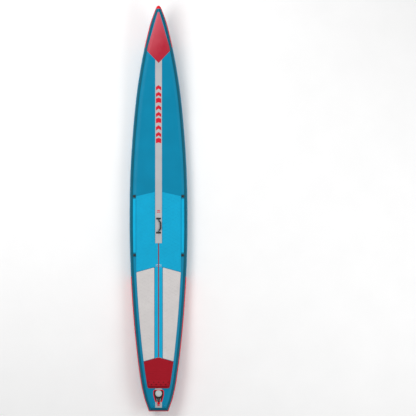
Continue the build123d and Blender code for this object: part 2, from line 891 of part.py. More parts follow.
def valve_patch(inset, low, high):
    """Shield-shaped patch round the valve, drawn in by inset, between two heights."""
    front, rear = valve_patch_front - inset, valve_patch_rear + inset
    wide, narrow = valve_patch_half_front - inset, valve_patch_half_rear - inset
    shoulder = valve_station - valve_flange_r / 2
    with BuildPart() as patch:
        with BuildSketch(Plane.XY.offset(low)) as plan:
            with BuildLine():
                Polyline(
                    (along(front), wide), (along(shoulder), wide), (along(rear), narrow),
                    (along(rear), -narrow), (along(shoulder), -wide), (along(front), -wide),
                    close=True,
                )
            make_face()
            fillet(plan.vertices(), valve_patch_corner - inset)
            with Locations((along(valve_station), 0)):
                Circle(valve_hole_r, mode=Mode.SUBTRACT)
        extrude(amount=high - low)
        add(plan_prism(leash_notch), mode=Mode.SUBTRACT)
    return patch.part


border = valve_patch(0, deck_level + glue, border_top)
save(less(border, stringer_relief), "valve_patch_border")
save(valve_patch(valve_patch_border, border_top + glue, valve_patch_top), "valve_patch")
leash_sheet = crown_end(relief_outer, relief_outer + patch_t, deck_reach, up=1)
save(keep_plan(leash_sheet, leash_plan, ring_corner), "leash_patch")

# ---- inflation valve
valve_x = along(valve_station)
gasket_low = valve_patch_top + glue
flange_low = gasket_low + gasket_t + glue
flange_top = flange_low + valve_flange_t
collar_top = flange_top + valve_collar_h
socket_floor = collar_top - socket_depth
spider_top = socket_floor - well_depth
throat_low = spider_top - spider_t - throat_depth
valve_bottom = collar_top - valve_depth
diaphragm_top = throat_low - glue
diaphragm_low = diaphragm_top - diaphragm_t
button_top = socket_floor - button_drop
hinge_x = valve_x + cap_hinge_reach
hinge_z = flange_top + cap_hinge_r + 2 * moving_gap
ear_side = cap_lug_width / 2 + moving_gap


def turned(profile):
    """Solid of revolution about the valve's axis from (radius, height) points."""
    with BuildPart() as body:
        with BuildSketch(Plane.XZ.offset(0)):
            with BuildLine():
                Polyline(*[(valve_x + r, z) for r, z in profile], close=True)
            make_face()
        revolve(axis=Axis((valve_x, 0, 0), (0, 0, 1)))
    return body.part


def ring(outer, inner, low, high):
    """Flat ring about the valve's axis."""
    return turned([(inner, low), (outer, low), (outer, high), (inner, high)])


body_profile = [
    (socket_r, collar_top), (valve_collar_r, collar_top), (valve_collar_r, flange_top),
    (valve_flange_r, flange_top), (valve_flange_r, flange_low), (valve_barrel_r, flange_low),
    (valve_barrel_r, valve_bottom), (chamber_r, valve_bottom), (chamber_r, throat_low),
    (well_r, throat_low), (well_r, spider_top - spider_t), (0, spider_top - spider_t),
    (0, spider_top), (well_r, spider_top), (well_r, socket_floor), (socket_r, socket_floor),
]
with BuildPart() as valve_body:
    add(turned(body_profile))
    with BuildSketch(Plane.XY.offset(spider_top)):
        with Locations((valve_x, 0)):
            Circle(stem_r + stem_clearance)
            with PolarLocations(vent_circle_r, vent_count):
                Circle(vent_r)
    extrude(amount=-spider_t, mode=Mode.SUBTRACT)
    for sign in (-1, 1):
        with BuildSketch(Plane.XZ.offset(-sign * (ear_side + cap_ear_t / 2))):
            with Locations((hinge_x, hinge_z)):
                Circle(cap_hinge_r)
            with Locations((hinge_x, (hinge_z + flange_top) / 2)):
                Rectangle(2 * cap_hinge_r, hinge_z - flange_top)
        extrude(amount=cap_ear_t / 2, both=True)
    with BuildSketch(Plane.XZ):
        with Locations((hinge_x, hinge_z)):
            Circle(cap_pin_r + glue / 2)
    extrude(amount=2 * ear_side, both=True, mode=Mode.SUBTRACT)
save(valve_body.part, "valve_body")
save(ring(gasket_r, valve_hole_r, gasket_low, gasket_low + gasket_t), "valve_gasket")
nut_top = deck_level - skin_t - glue
save(ring(nut_r, valve_barrel_r + glue, nut_top - nut_t, nut_top), "valve_nut")

foot_top = diaphragm_low - glue
plunger_profile = [
    (0, button_top), (button_r, button_top), (button_r, button_top - button_t),
    (stem_r, button_top - button_t), (stem_r, foot_top), (plunger_foot_r, foot_top),
    (plunger_foot_r, foot_top - plunger_foot_t), (0, foot_top - plunger_foot_t),
]
save(turned(plunger_profile), "valve_plunger")
save(ring(diaphragm_r, stem_r + glue, diaphragm_low, diaphragm_top), "valve_diaphragm")

spring_low = spider_top + glue + spring_wire_r
spring_high = button_top - button_t - glue - spring_wire_r
with BuildPart() as spring:
    with BuildLine(Plane(origin=(valve_x, 0, spring_low))) as coil:
        Helix((spring_high - spring_low) / spring_turns, spring_high - spring_low, spring_r)
    with BuildSketch(Plane(origin=coil.line @ 0, z_dir=coil.line % 0)):
        Circle(spring_wire_r)
    sweep(is_frenet=True)
save(spring.part, "valve_spring")

cap_ceiling = collar_top + moving_gap + cap_seal_t
cap_top = cap_ceiling + cap_top_t
skirt_low = flange_top + moving_gap
cap_inner = cap_r - cap_wall
cap_profile = [
    (0, cap_ceiling + glue), (cap_inner, cap_ceiling + glue), (cap_inner, skirt_low),
    (cap_r, skirt_low), (cap_r, cap_top), (0, cap_top),
]
with BuildPart() as valve_cap:
    add(turned(cap_profile))
    fillet(valve_cap.edges().group_by(Axis.Z)[-1], cap_top_t / 2)
    with BuildSketch(Plane.XY.offset(skirt_low)):
        with Locations((valve_x - cap_r, 0)):
            Circle(cap_tab_r)
        with Locations((valve_x, 0)):
            Circle(cap_r - cap_wall / 2, mode=Mode.SUBTRACT)
    extrude(amount=cap_top_t)
    with BuildSketch(Plane.XZ):
        with Locations((hinge_x, hinge_z)):
            Circle(cap_hinge_r)
        bridge = hinge_x - valve_x - cap_inner - cap_wall / 2
        with Locations((hinge_x - bridge / 2, hinge_z)):
            Rectangle(bridge, cap_hinge_r)
    extrude(amount=cap_lug_width / 2, both=True)
    with BuildSketch(Plane.XZ):
        with Locations((hinge_x, hinge_z)):
            Circle(cap_pin_r + cap_pin_clearance)
    extrude(amount=cap_lug_width, both=True, mode=Mode.SUBTRACT)
save(valve_cap.part, "valve_cap")
seal_middle = (socket_r + valve_collar_r) / 2
seal_half = cap_seal_width / 2
seal_low = collar_top + moving_gap
save(ring(seal_middle + seal_half, seal_middle - seal_half, seal_low, cap_ceiling), "cap_seal")
with BuildPart() as cap_pin:
    with BuildSketch(Plane.XZ):
        with Locations((hinge_x, hinge_z)):
            Circle(cap_pin_r)
    extrude(amount=ear_side + cap_ear_t, both=True)
save(cap_pin.part, "valve_cap_pin")

# ---- leash ring in its webbing tab
ring_x = along(ring_bar_station)
tab_inner = ring_rod_r + ring_clearance
tab_outer = tab_inner + ring_tab_t
ring_z = border_top + strap_gap + tab_outer
tab_low = valve_patch_top + strap_gap
with BuildPart() as leash_ring:
    with BuildLine(Plane.XY.offset(ring_z)) as loop_path:
        FilletPolyline(
            (ring_x - ring_side, ring_half), (ring_x, ring_half), (ring_x, -ring_half),
            (ring_x - ring_side, -ring_half), radius=ring_corner,
        )
        ThreePointArc(
            (ring_x - ring_side, ring_half), (ring_x - ring_side - ring_half, 0),
            (ring_x - ring_side, -ring_half),
        )
    with BuildSketch(Plane(origin=(ring_x, 0, ring_z), z_dir=(0, 1, 0))):
        Circle(ring_rod_r)
    sweep(path=loop_path.wires()[0])
save(leash_ring.part, "leash_ring")
with BuildPart() as leash_tab:
    with BuildSketch(Plane.XZ):
        with Locations((ring_x, ring_z)):
            Circle(tab_outer)
        with Locations((ring_x + ring_tab_length / 2, tab_low + ring_tab_t)):
            Rectangle(ring_tab_length, 2 * ring_tab_t)
        with Locations((ring_x, ring_z)):
            Circle(tab_inner, mode=Mode.SUBTRACT)
    extrude(amount=ring_tab_width / 2, both=True)
save(leash_tab.part, "leash_tab")


# ---- fin box on the bottom
def obround(blank, long_side, short_side):
    """The part of a sheet inside a round-ended plan outline at the fin box."""
    with BuildPart() as piece:
        add(blank)
        with BuildSketch(Plane.XY.offset(-tall)):
            with Locations((along(fin_box_middle), 0)):
                SlotOverall(long_side, short_side)
        extrude(amount=2 * tall, mode=Mode.INTERSECT)
    return piece.part


def bottom_layer(inner, outer):
    """Sheet on the bottom between two radii, over the whole board."""
    return long_crown(inner, outer, bottom_reach, up=-1)


base_outer = relief_outer + fin_base_t
body_inner = base_outer + glue
body_outer = body_inner + fin_body_t
slot_floor = body_inner + fin_slot_floor
track_outer = body_outer - fin_track_lip
bottom_relief = keep_plan(bottom_layer(rail - pad_t, relief_outer), relief_plan)
fin_base = obround(bottom_layer(rail + glue, base_outer), fin_base_length, fin_base_width)
save(less(fin_base, bottom_relief), "fin_box_base")
fin_body = obround(bottom_layer(body_inner, body_outer), fin_body_length, fin_body_width)
slot = obround(bottom_layer(slot_floor, body_outer + pad_t), fin_slot_length, fin_slot_width)
mouth_wide = fin_slot_length + fin_mouth_width - fin_slot_width
mouth = obround(bottom_layer(body_outer - fin_mouth_depth, body_outer + pad_t), mouth_wide, fin_mouth_width)
track_long = fin_slot_length + fin_track_width - fin_slot_width
track = obround(bottom_layer(track_outer - fin_track_t, track_outer), track_long, fin_track_width)
save(less(fin_body, slot, mouth, track), "fin_box")
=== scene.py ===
import json
import math

import bmesh
import bpy
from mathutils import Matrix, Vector
from mathutils.bvhtree import BVHTree
from mathutils.geometry import delaunay_2d_cdt
from mathutils.kdtree import KDTree


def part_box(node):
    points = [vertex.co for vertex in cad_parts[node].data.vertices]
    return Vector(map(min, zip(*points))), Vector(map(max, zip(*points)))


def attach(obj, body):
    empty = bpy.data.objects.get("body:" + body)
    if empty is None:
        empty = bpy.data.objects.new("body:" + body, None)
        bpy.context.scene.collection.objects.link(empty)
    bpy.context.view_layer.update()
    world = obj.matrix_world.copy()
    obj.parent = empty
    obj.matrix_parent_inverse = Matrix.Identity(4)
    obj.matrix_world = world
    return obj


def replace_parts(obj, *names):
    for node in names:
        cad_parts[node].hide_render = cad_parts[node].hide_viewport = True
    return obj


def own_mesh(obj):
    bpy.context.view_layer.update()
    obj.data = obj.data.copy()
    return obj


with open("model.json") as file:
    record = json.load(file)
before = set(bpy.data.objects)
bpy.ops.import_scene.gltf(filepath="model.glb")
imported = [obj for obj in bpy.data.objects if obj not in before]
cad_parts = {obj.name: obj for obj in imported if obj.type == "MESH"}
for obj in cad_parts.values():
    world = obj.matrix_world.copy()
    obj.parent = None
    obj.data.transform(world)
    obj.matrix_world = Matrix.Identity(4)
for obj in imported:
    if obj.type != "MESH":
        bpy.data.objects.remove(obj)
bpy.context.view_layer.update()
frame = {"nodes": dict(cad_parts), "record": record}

# An inflatable race paddleboard in metres: X towards the nose, Y to port, Z up.
# The frame's skins, tapes and fittings keep their meshes and get their finishes here; the foam
# pads, webbing, grip and printed graphics are modelled here, on the frame's surfaces.

MM = 0.001
nodes = frame["nodes"]
tail_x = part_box("rail_guard_tail")[0].x
nose_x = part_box("nose_cap")[1].x


# ---- colours and node helpers
def linear(r, g, b):
    """A colour given as 0 to 255 screen values, as linear values."""
    def channel(value):
        value /= 255
        return value / 12.92 if value <= 0.04045 else ((value + 0.055) / 1.055) ** 2.4
    return (channel(r), channel(g), channel(b), 1.0)


def shade(colour, factor):
    """The colour made lighter or darker."""
    return (*[min(1.0, max(0.0, c * factor)) for c in colour[:3]], 1.0)


class Nodes:
    """A material's node tree with short ways to add and link nodes."""

    def __init__(self, name):
        self.material = bpy.data.materials.new(name)
        self.material.use_nodes = True
        self.tree = self.material.node_tree
        self.shader = self.tree.nodes["Principled BSDF"]
        self.place = self.add("ShaderNodeTexCoord").outputs["Object"]

    def add(self, kind, **settings):
        node = self.tree.nodes.new(kind)
        for key, value in settings.items():
            setattr(node, key, value)
        return node

    def link(self, source, target):
        self.tree.links.new(source, target)

    def scaled(self, scale, turn=0.0):
        """Object coordinates scaled, and turned about Z."""
        mapping = self.add("ShaderNodeMapping")
        mapping.inputs["Scale"].default_value = scale
        mapping.inputs["Rotation"].default_value = (0, 0, turn)
        self.link(self.place, mapping.inputs["Vector"])
        return mapping.outputs["Vector"]

    def noise(self, scale, detail=3.0, stretch=(1, 1, 1)):
        node = self.add("ShaderNodeTexNoise")
        node.inputs["Scale"].default_value = scale
        node.inputs["Detail"].default_value = detail
        self.link(self.scaled(stretch), node.inputs["Vector"])
        return node.outputs["Fac"]

    def wave(self, scale, direction, turn=0.0, distortion=0.0):
        node = self.add("ShaderNodeTexWave", bands_direction=direction)
        node.inputs["Scale"].default_value = scale
        node.inputs["Distortion"].default_value = distortion
        self.link(self.scaled((1, 1, 1), turn), node.inputs["Vector"])
        return node.outputs["Fac"]

    def math(self, operation, a, b):
        node = self.add("ShaderNodeMath", operation=operation)
        for socket, value in zip(node.inputs, (a, b)):
            if isinstance(value, (int, float)):
                socket.default_value = value
            else:
                self.link(value, socket)
        return node.outputs["Value"]

    def ramp(self, factor, stops):
        node = self.add("ShaderNodeValToRGB")
        elements = node.color_ramp.elements
        while len(elements) < len(stops):
            elements.new(0.5)
        for element, (position, colour) in zip(elements, stops):
            element.position = position
            element.color = colour
        self.link(factor, node.inputs["Fac"])
        return node.outputs["Color"]

    def colour(self, source):
        self.link(source, self.shader.inputs["Base Color"])

    def bump(self, height, strength, distance):
        node = self.add("ShaderNodeBump")
        node.inputs["Strength"].default_value = strength
        node.inputs["Distance"].default_value = distance
        self.link(height, node.inputs["Height"])
        self.link(node.outputs["Normal"], self.shader.inputs["Normal"])

    def rough(self, factor, low, high):
        node = self.add("ShaderNodeMapRange")
        node.inputs["To Min"].default_value = low
        node.inputs["To Max"].default_value = high
        self.link(factor, node.inputs["Value"])
        self.link(node.outputs["Result"], self.shader.inputs["Roughness"])


# ---- materials
def coated_fabric(name, colour, roughness=(0.38, 0.5)):
    """PVC-coated fabric: fine weave pressed through the coating, faint scuffs and cloudiness."""
    n = Nodes(name)
    clouds = n.noise(5.0, 4.0)
    n.colour(n.ramp(clouds, [(0.3, shade(colour, 0.95)), (0.7, shade(colour, 1.05))]))
    weave = n.math("MULTIPLY", n.wave(420, "X"), n.wave(420, "Y"))
    n.bump(n.math("ADD", weave, n.noise(900, 2.0)), 0.18, 0.0003)
    n.rough(n.noise(60, 5.0, (1, 4, 1)), *roughness)
    n.shader.inputs["Specular IOR Level"].default_value = 0.1
    n.shader.inputs["Coat Weight"].default_value = 0.05
    n.shader.inputs["Coat Roughness"].default_value = 0.4
    return n.material


def eva_foam(name, colour):
    """Closed-cell foam: speckled cells, brushed skin and slightly darker hollows."""
    n = Nodes(name)
    speckle = n.noise(700, 2.0)
    clouds = n.noise(9.0, 3.0)
    mixed = n.math("ADD", n.math("MULTIPLY", speckle, 0.5), n.math("MULTIPLY", clouds, 0.5))
    n.colour(n.ramp(mixed, [(0.3, shade(colour, 0.93)), (0.7, shade(colour, 1.06))]))
    n.bump(n.math("ADD", n.noise(1100, 3.0), n.math("MULTIPLY", n.noise(260, 2.0), 0.6)), 0.3, 0.0005)
    n.rough(speckle, 0.72, 0.9)
    n.shader.inputs["Specular IOR Level"].default_value = 0.2
    n.shader.inputs["Sheen Weight"].default_value = 0.04
    return n.material


def webbing(name, colour, along="X"):
    """Woven tape: tight ribs across and a finer thread along, coloured darker between the ribs as painted
    shade and lighter on them as painted highlight.
    """
    n = Nodes(name)
    ribs = n.wave(260, along, 0.0, 0.4)
    threads = n.wave(520, "Y" if along == "X" else "X")
    weave = n.math("MULTIPLY", ribs, n.math("ADD", threads, 0.4))
    # colour follows the weave's height: painted shade in the valleys, painted highlight on the crests
    n.colour(n.ramp(weave, [(0.1, shade(colour, 0.6)), (0.8, shade(colour, 1.25))]))
    n.bump(weave, 0.5, 0.0006)
    n.shader.inputs["Roughness"].default_value = 0.85
    n.shader.inputs["Sheen Weight"].default_value = 0.25
    return n.material


def moulded(name, colour, roughness=(0.35, 0.5), grain=0.12):
    """Moulded plastic: spark-eroded grain and faint flow variation."""
    n = Nodes(name)
    n.colour(n.ramp(n.noise(40, 3.0), [(0.3, shade(colour, 0.94)), (0.7, shade(colour, 1.05))]))
    n.bump(n.noise(1600, 2.0), grain, 0.0003)
    n.rough(n.noise(120, 4.0), *roughness)
    n.shader.inputs["Specular IOR Level"].default_value = 0.35
    return n.material


def neoprene(name, colour):
    """Soft sleeve: knitted face with a fine diagonal rib, coloured darker in its hollows as painted shade
    and lighter on its crests as painted highlight.
    """
    n = Nodes(name)
    knit = n.math("MULTIPLY", n.wave(330, "DIAGONAL"), n.noise(500, 2.0))
    # colour follows the knit's height: painted shade in the hollows, painted highlight on the crests
    n.colour(n.ramp(knit, [(0.1, shade(colour, 0.7)), (0.6, shade(colour, 1.5))]))
    n.bump(knit, 0.4, 0.0007)
    n.shader.inputs["Roughness"].default_value = 0.8
    n.shader.inputs["Sheen Weight"].default_value = 0.35
    return n.material


def metal(name, colour):
    """Polished stainless rod with faint drawing marks."""
    n = Nodes(name)
    n.colour(n.ramp(n.noise(90, 3.0), [(0.3, shade(colour, 0.85)), (0.7, shade(colour, 1.1))]))
    n.bump(n.noise(300, 3.0, (1, 1, 8)), 0.15, 0.0002)
    n.rough(n.noise(200, 3.0), 0.18, 0.34)
    n.shader.inputs["Metallic"].default_value = 1.0
    return n.material


def kite_patch_with_painted_highlight(name, colour, tip):
    """The nose patch: deep red, with a painted highlight in a lighter, pinker red towards one side of its
    tip.
    """
    n = Nodes(name)
    parts = n.add("ShaderNodeSeparateXYZ")
    n.link(n.place, parts.inputs["Vector"])
    # painted highlight: lighter and pinker towards the tip and to port, its edge broken up by cloudy
    # noise
    rise = n.math("MULTIPLY", n.math("SUBTRACT", tip, parts.outputs["X"]), 1.6)
    lean = n.math("ADD", rise, n.math("MULTIPLY", parts.outputs["Y"], -2.0))
    painted_highlight_mix = n.math("ADD", lean, n.math("MULTIPLY", n.noise(12, 4.0), 0.25))
    n.colour(n.ramp(painted_highlight_mix, [(0.15, linear(208, 92, 106)), (0.95, colour)]))
    weave = n.math("MULTIPLY", n.wave(420, "X"), n.wave(420, "Y"))
    n.bump(weave, 0.18, 0.0003)
    n.rough(n.noise(60, 4.0), 0.36, 0.5)
    n.shader.inputs["Specular IOR Level"].default_value = 0.25
    return n.material


BLUE = linear(0, 130, 167)
TEAL = linear(2, 96, 118)
RED = linear(230, 0, 32)
PAD_BLUE = linear(6, 166, 208)
PAD_BRIGHT = linear(0, 176, 221)
GREY = linear(180, 181, 184)
PAD_GREY = linear(208, 204, 203)
PAD_RED = linear(160, 12, 32)

materials = {
    "pvc_blue": coated_fabric("pvc_blue", BLUE),
    "pvc_teal": coated_fabric("pvc_teal", TEAL),
    "pvc_red": coated_fabric("pvc_red", RED),
    # the nose patch's red carries a painted highlight
    "pvc_kite": kite_patch_with_painted_highlight("pvc_kite", linear(176, 30, 52), nose_x),
    "pvc_grey": coated_fabric("pvc_grey", GREY, (0.45, 0.6)),
    "pvc_black": coated_fabric("pvc_black", linear(44, 42, 42), (0.5, 0.65)),
    "plastic_white": moulded("plastic_white", linear(248, 248, 248)),
    "yarn": webbing("yarn", linear(226, 226, 220)),
    "eva_blue": eva_foam("eva_blue", PAD_BLUE),
    "eva_bright_blue": eva_foam("eva_bright_blue", PAD_BRIGHT),
    "eva_grey": eva_foam("eva_grey", PAD_GREY),
    "eva_red": eva_foam("eva_red", PAD_RED),
    "webbing_teal": webbing("webbing_teal", linear(6, 84, 104)),
    "webbing_black": webbing("webbing_black", linear(30, 32, 34)),
    "neoprene": neoprene("neoprene", linear(34, 40, 42)),
    "plastic_black": moulded("plastic_black", linear(46, 46, 48), (0.4, 0.55), 0.2),
    "plastic_grey": moulded("plastic_grey", linear(192, 201, 201)),
    "seal_rubber": moulded("seal_rubber", linear(26, 26, 26), (0.6, 0.75), 0.2),
    "steel": metal("steel", linear(190, 192, 196)),
}
print_red = coated_fabric("print_red", linear(205, 30, 50))
print_teal = coated_fabric("print_teal", linear(0, 95, 115))
print_white = coated_fabric("print_white", linear(235, 240, 240))
print_pill = coated_fabric("print_pill", linear(239, 22, 49))
print_line = coated_fabric("print_line", linear(150, 205, 220))
print_grey = coated_fabric("print_grey", linear(205, 210, 212))
# painted shade: dark foam for the floors of the kick bar's blind holes
hole_painted_shade = eva_foam("hole_painted_shade", linear(38, 20, 22))
thread = webbing("thread", linear(205, 205, 200))
thread_dark = webbing("thread_dark", linear(70, 74, 78))

for row in frame["record"]["subparts"]:
    body = nodes[row["node"]]
    body.data.materials.clear()
    body.data.materials.append(materials[row["material_slot"]])
    body.data.polygons.foreach_set("use_smooth", [True] * len(body.data.polygons))
    body.data.set_sharp_from_angle(angle=math.radians(28))


# ---- surfaces to build on
def surface_tree(*names):
    """A search tree over several frame nodes."""
    vertices, faces = [], []
    for name in names:
        mesh = nodes[name].data
        start = len(vertices)
        vertices += [vertex.co.copy() for vertex in mesh.vertices]
        faces += [[start + i for i in face.vertices] for face in mesh.polygons]
    return BVHTree.FromPolygons(vertices, faces)


deck_tree = surface_tree("deck_skin")
print_tree = surface_tree("deck_skin", "deck_stringer", "nose_patch")
bottom_tree = surface_tree(
    "bottom_skin", "bottom_stringer", "bottom_seam_tape_port", "bottom_seam_tape_starboard",
    "sidewall_port", "sidewall_starboard",
)
SKY = 2.0
WELD = 1e-6


def new_piece(name, vertices, faces, material, body="root", smooth=30, turn_out=True):
    """A closed mesh piece with outward faces, that rides on a body."""
    mesh = bpy.data.meshes.new(name)
    mesh.from_pydata([tuple(v) for v in vertices], [], faces)
    if turn_out:
        bm = bmesh.new()
        bm.from_mesh(mesh)
        bmesh.ops.recalc_face_normals(bm, faces=bm.faces)
        bm.to_mesh(mesh)
        bm.free()
    mesh.materials.append(material)
    mesh.polygons.foreach_set("use_smooth", [True] * len(mesh.polygons))
    mesh.set_sharp_from_angle(angle=math.radians(smooth))
    piece = bpy.data.objects.new(name, mesh)
    bpy.context.collection.objects.link(piece)
    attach(piece, body)
    return piece


def plan_outline(name):
    """Corners in plan of a frame pad's top face, anticlockwise."""
    bm = bmesh.new()
    bm.from_mesh(nodes[name].data)
    bmesh.ops.remove_doubles(bm, verts=bm.verts, dist=WELD)
    upward = [face for face in bm.faces if face.normal.z > 0.5]
    top = set(upward)
    onward = {}
    for face in upward:
        for loop in face.loops:
            other = [f for f in loop.edge.link_faces if f is not face and f in top]
            if not other:
                onward[loop.vert] = loop.link_loop_next.vert
    outlines = []
    while onward:
        start = next(iter(onward))
        chain, vertex = [], start
        while vertex in onward:
            chain.append(Vector((vertex.co.x, vertex.co.y)))
            vertex = onward.pop(vertex)
        outlines.append(chain)
    bm.free()
    return max(outlines, key=len)


def spaced(points, step):
    """The closed outline with its corners kept and its long sides divided."""
    result = []
    for a, b in zip(points, points[1:] + points[:1]):
        parts = max(1, math.ceil((b - a).length / step))
        result += [a.lerp(b, k / parts) for k in range(parts)]
    return result


def thinned(points, least=0.0012):
    """The closed outline without crowded or straight-line points."""
    kept = []
    for point in points:
        if not kept or (point - kept[-1]).length > least:
            kept.append(point)
    if (kept[0] - kept[-1]).length < least:
        kept.pop()
    result = []
    for before, point, after in zip(kept[-1:] + kept[:-1], kept, kept[1:] + kept[:1]):
        turn = (point - before).normalized().cross((after - point).normalized())
        if abs(turn) > 0.004:
            result.append(point)
    return result


def inset(points, distance):
    """The closed outline moved inwards by a distance."""
    moved = []
    for before, point, after in zip(points[-1:] + points[:-1], points, points[1:] + points[:1]):
        a, b = (point - before).normalized(), (after - point).normalized()
        normal = Vector((-a.y - b.y, a.x + b.x)).normalized()
        lean = max(0.4, normal.dot(Vector((-a.y, a.x))))
        moved.append(point + normal * (distance / lean))
    return moved


def inside(point, outline):
    """Whether a plan point lies inside a closed outline."""
    found = False
    for a, b in zip(outline, outline[1:] + outline[:1]):
        if (a.y > point.y) != (b.y > point.y):
            if point.x < a.x + (point.y - a.y) * (b.x - a.x) / (b.y - a.y):
                found = not found
    return found


def clipped(a, b, outline):
    """The stretches of a straight line that lie inside the outline."""
    cuts = [0.0, 1.0]
    run = b - a
    for c, d in zip(outline, outline[1:] + outline[:1]):
        side = d - c
        cross = run.cross(side)
        if abs(cross) > 1e-12:
            t, u = (c - a).cross(side) / cross, (c - a).cross(run) / cross
            if 0 < t < 1 and 0 <= u <= 1:
                cuts.append(t)
    cuts.sort()
    pieces = []
    for t, u in zip(cuts, cuts[1:]):
        if (u - t) * run.length > 0.002 and inside(a + run * ((t + u) / 2), outline):
            pieces.append((a + run * t, a + run * u))
    return pieces


def groove_lines(outline, family):
    """Groove centre lines of one family (angle in degrees, pitch): (way, across, place across)."""
    angle, pitch = family
    way = Vector((math.cos(math.radians(angle)), math.sin(math.radians(angle))))
    across = Vector((-way.y, way.x))
    places = [p.dot(across) for p in outline]
    first = math.ceil(min(places) / pitch)
    return [(way, across, k * pitch) for k in range(first, math.floor(max(places) / pitch) + 1)]


RIM_ROUND = 0.0016
RIM_STEP = 0.012
GROOVE_HALF = 0.0011
GROOVE_STEP = 0.03
GROOVE_MARGIN = 0.004
GROOVE_FREE_RIM = 0.0035
THICK_SHEET = 0.001
FAR = 10.0


def draped(name, outline, trees, low, high, material, families=(), groove=0.0, up=1, step=0.02):
    """A sheet laid on a surface: outline in plan, rounded rim, and V-bottomed grooves.

    low and high are heights of its two faces over the surfaces under each of them. up is -1 for
    a sheet on the underside.
    """
    soft = min(RIM_ROUND, 0.45 * (high - low))
    rim = thinned(outline)
    rings = [spaced(rim, min(step, RIM_STEP))]
    if high - low > THICK_SHEET:
        rings += [inset(rings[0], soft * share) for share in (0.3, 1.0)]
    vertices, edges = [], []

    def add_line(points, closed):
        start = len(vertices)
        vertices.extend(points)
        last = len(points) if closed else len(points) - 1
        edges.extend((start + k, start + (k + 1) % len(points)) for k in range(last))

    for ring in rings:
        add_line(ring, True)
    field = inset(rings[0], GROOVE_MARGIN) if families else rings[-1]
    ways = []
    for family in families:
        for way, across, offset in groove_lines(field, family):
            ways.append((across, offset))
            for side in (-GROOVE_HALF, 0.0, GROOVE_HALF):
                middle = across * (offset + side)
                for a, b in clipped(middle - way * FAR, middle + way * FAR, field):
                    count = max(1, math.ceil((b - a).length / GROOVE_STEP))
                    add_line([a.lerp(b, k / count) for k in range(count + 1)], False)
    low_x, high_x = min(p.x for p in field), max(p.x for p in field)
    low_y, high_y = min(p.y for p in field), max(p.y for p in field)
    for i in range(1, int((high_x - low_x) / step) + 1):
        for j in range(1, int((high_y - low_y) / step) + 1):
            point = Vector((low_x + i * step, low_y + j * step))
            if inside(point, field):
                vertices.append(point)
    ring_face = [list(range(len(rings[0])))]
    plan, _, triangles, *_ = delaunay_2d_cdt(vertices, edges, ring_face, 1, 1e-7)

    edge_tree = KDTree(len(rings[0]))
    for k, point in enumerate(rings[0]):
        edge_tree.insert((point.x, point.y, 0), k)
    edge_tree.balance()

    def rim_distance(point):
        k = edge_tree.find((point.x, point.y, 0))[1]
        ring = rings[0]
        best = 1.0
        for m in (k - 1, k):
            a, b = ring[m % len(ring)], ring[(m + 1) % len(ring)]
            run = b - a
            t = max(0.0, min(1.0, (point - a).dot(run) / run.length_squared))
            best = min(best, (point - a - run * t).length)
        return best

    def lift(point):
        height = high
        gap = rim_distance(point)
        if gap < soft and len(rings) > 1:
            height -= soft - math.sqrt(max(0.0, soft * soft - (soft - gap) ** 2))
        if families and gap > GROOVE_FREE_RIM:
            near = min((abs(point.dot(across) - offset) for across, offset in ways), default=1.0)
            height -= groove * max(0.0, 1 - near / GROOVE_HALF)
        return height

    top, bottom = [], []
    for point in plan:
        start, way = Vector((point.x, point.y, up * SKY)), Vector((0, 0, -up))
        place, normal, *_ = trees[0].ray_cast(start, way)
        base = trees[1].ray_cast(start, way)[0]
        top.append((point.x, point.y, place.z + up * lift(point) / max(0.3, abs(normal.z))))
        bottom.append((point.x, point.y, base.z + up * low))
    if up < 0:
        triangles = [t[::-1] for t in triangles]
    return shell(name, top, bottom, triangles, material)


def shell(name, top, bottom, triangles, material):
    """A closed piece from two matching faces and the walls between their rims."""
    count = len(top)
    faces = [list(t) for t in triangles] + [[count + i for i in reversed(t)] for t in triangles]
    used = dict.fromkeys((a, b) for t in triangles for a, b in zip(t, [*t[1:], t[0]]))
    for a, b in used:
        if (b, a) not in used:
            faces.append([b, a, count + a, count + b])
    return new_piece(name, top + bottom, faces, material, turn_out=False)


# ---- deck pads
RIBS = [(90, 0.028)]
DIAMOND = [(62, 0.034), (118, 0.034)]
PADS = {
    "front_pad": (DIAMOND, 0.0011),
    "stance_pad": (DIAMOND, 0.0011),
    "centre_pad": (RIBS, 0.0009),
    "side_pad": (RIBS, 0.0009),
}
PAD_LOW, PAD_HIGH = 0.0001, 0.0051


def deck_pad(name, families, groove):
    """A foam pad over a frame pad, with a rounded rim and routed grooves."""
    slot = next(row["material_slot"] for row in frame["record"]["subparts"] if row["node"] == name)
    pad = draped(
        f"{name}_foam", plan_outline(name), (deck_tree, print_tree), PAD_LOW, PAD_HIGH,
        materials[slot], families, groove,
    )
    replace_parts(pad, name)


for stem, (families, groove) in PADS.items():
    for side in ("port", "starboard"):
        deck_pad(f"{stem}_{side}", families, groove)
deck_pad("centre_line_strip", [], 0.0)
deck_pad("kick_pad", [(90, 0.022)], 0.0011)


# ---- printed graphics: thin films laid on the skins, with their own generic motifs
FILM_LOW, FILM_HIGH = 0.00005, 0.0004
PRINT_OVER_PRINT = 0.0005


def at(d, y):
    """Plan point at a distance from the tail and a distance to port, both in millimetres."""
    return Vector((tail_x + d * MM, y * MM))


def turned_left(points):
    """The outline in anticlockwise order."""
    area = sum(a.cross(b) for a, b in zip(points, points[1:] + points[:1]))
    return points if area > 0 else points[::-1]


def film(name, points, material, up=1, step=0.02, raise_by=0.0, on=None):
    """A thin film on the deck, on the underside, or on the surface given: print, or painted shade in the
    kick bar's holes.
    """
    tree = on or (print_tree if up > 0 else bottom_tree)
    return draped(
        name, turned_left(points), (tree, tree), FILM_LOW + raise_by, FILM_HIGH + raise_by,
        material, up=up, step=step,
    )


